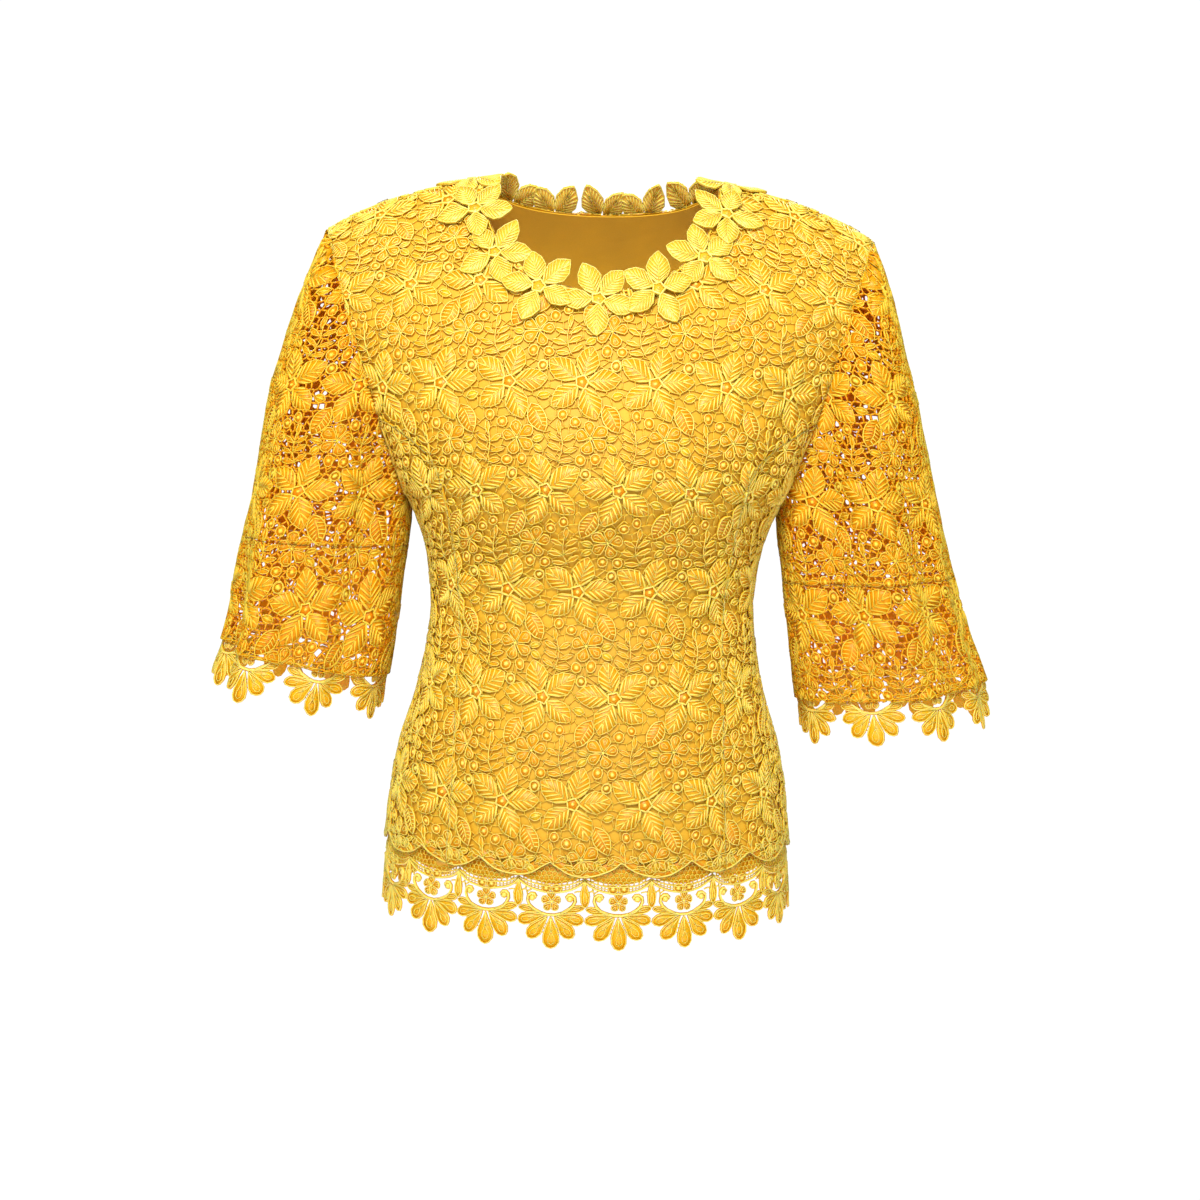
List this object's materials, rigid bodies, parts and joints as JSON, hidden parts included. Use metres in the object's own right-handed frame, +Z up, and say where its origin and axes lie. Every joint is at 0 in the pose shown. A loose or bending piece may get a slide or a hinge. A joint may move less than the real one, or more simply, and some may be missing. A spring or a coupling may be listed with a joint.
{
  "type": "lace blouse",
  "caption": "Worn, hollow lace blouse with a round neck, lined body, open bell sleeves, and fan edgings at hem and cuffs.",
  "frame": {"origin": "midway between the two neck points of the shoulder seams, where the wearer's shoulders hold the blouse", "axes": "+Z up, the front faces -Y, +X to the wearer's left, which is the viewer's right"},
  "size_m": [0.6292, 0.2504, 0.5856],
  "materials": {
    "lace": "yellow satin-stitched guipure lace",
    "sleeve_lace": "deeper yellow guipure lace, open and unlined",
    "lining": "plain tan-gold satin lining",
    "edging": "yellow corded lace edging with fans",
    "trim": "pale yellow satin-stitched flower appliques"
  },
  "bodies": {
    "root": {"front_centre": "lace", "front_side_right": "lace", "front_side_left": "lace", "back": "lace", "lining_front": "lining", "lining_back": "lining", "sleeve_upper_right": "sleeve_lace", "sleeve_lower_right": "sleeve_lace", "cuff_edging_right": "edging", "sleeve_upper_left": "sleeve_lace", "sleeve_lower_left": "sleeve_lace", "cuff_edging_left": "edging", "neck_trim_front": "trim", "neck_trim_back": "trim", "hem_edging": "edging"}
  },
  "joints": []
}
